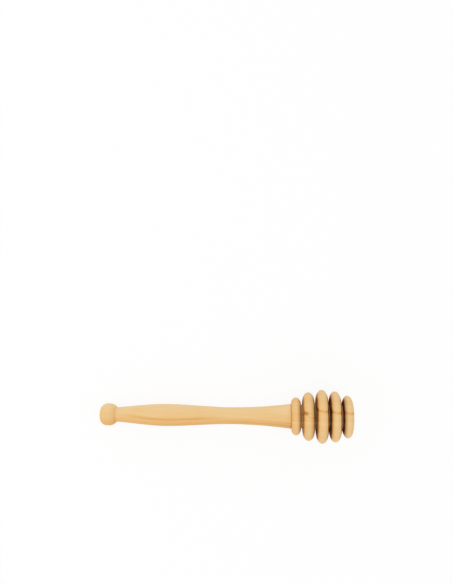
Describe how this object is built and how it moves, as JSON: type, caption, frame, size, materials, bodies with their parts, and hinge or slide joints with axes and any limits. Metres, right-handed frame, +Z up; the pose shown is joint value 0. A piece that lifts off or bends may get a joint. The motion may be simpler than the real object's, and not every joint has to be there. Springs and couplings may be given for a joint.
{
  "type": "honey dipper",
  "caption": "Turned wooden honey dipper: a slim knobbed handle with a hand swell, glued by a round tenon into a rounded head of grooved rings.",
  "frame": {"origin": "on the table, under the middle of the dipper's box, with the dipper lying at rest on its knob and its widest ring", "axes": "+X from the knob towards the head, +Z up, +Y across; the dipper's own axis lies in the XZ plane and rises about 4 degrees towards the head"},
  "size_m": [0.1586, 0.0328, 0.0327],
  "materials": {
    "handle_wood": "turned and sanded pale hardwood, unvarnished satin, grain along the handle",
    "head_wood": "turned and sanded pale hardwood, unvarnished satin, grain along the axis, a small knot on one ring"
  },
  "bodies": {
    "root": {"handle": "handle_wood", "head": "head_wood"}
  },
  "joints": []
}
